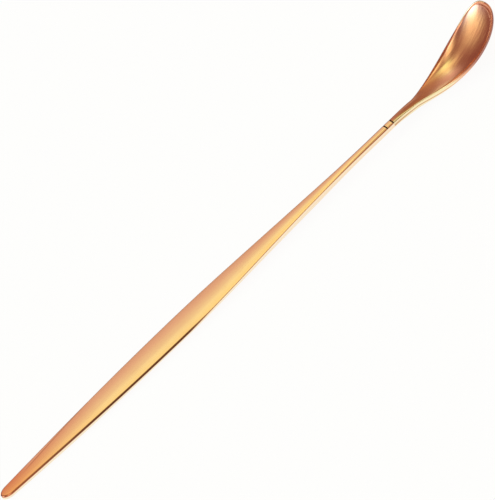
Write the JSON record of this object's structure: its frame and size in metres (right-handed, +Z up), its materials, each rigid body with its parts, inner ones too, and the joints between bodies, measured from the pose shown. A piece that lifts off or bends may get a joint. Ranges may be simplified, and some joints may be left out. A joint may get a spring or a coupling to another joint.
{
  "type": "bar spoon",
  "caption": "Long bar spoon lying on its back: a flat leaf-shaped handle with a rounded tip, a slim squarish neck with dark joint lines, and a teardrop bowl with its nose turned up.",
  "frame": {"origin": "on the bar top, under the middle of the spoon's length and width, as it lies at rest", "axes": "+X along the spoon from the handle's tip to the bowl's nose, +Z up, +Y to the left of the handle seen from its tip"},
  "size_m": [0.3186, 0.0196, 0.0223],
  "materials": {
    "satin_copper": "copper-plated stainless steel, satin brushed along its length",
    "polished_copper": "copper-plated stainless steel, polished",
    "pin_steel": "drawn steel rod",
    "dark_braze": "brazing filler, oxidised dark"
  },
  "bodies": {
    "root": {"handle": "satin_copper", "neck_collar": "satin_copper", "bowl": "polished_copper", "joint_pin": "pin_steel", "braze_beads": "dark_braze"}
  },
  "joints": []
}
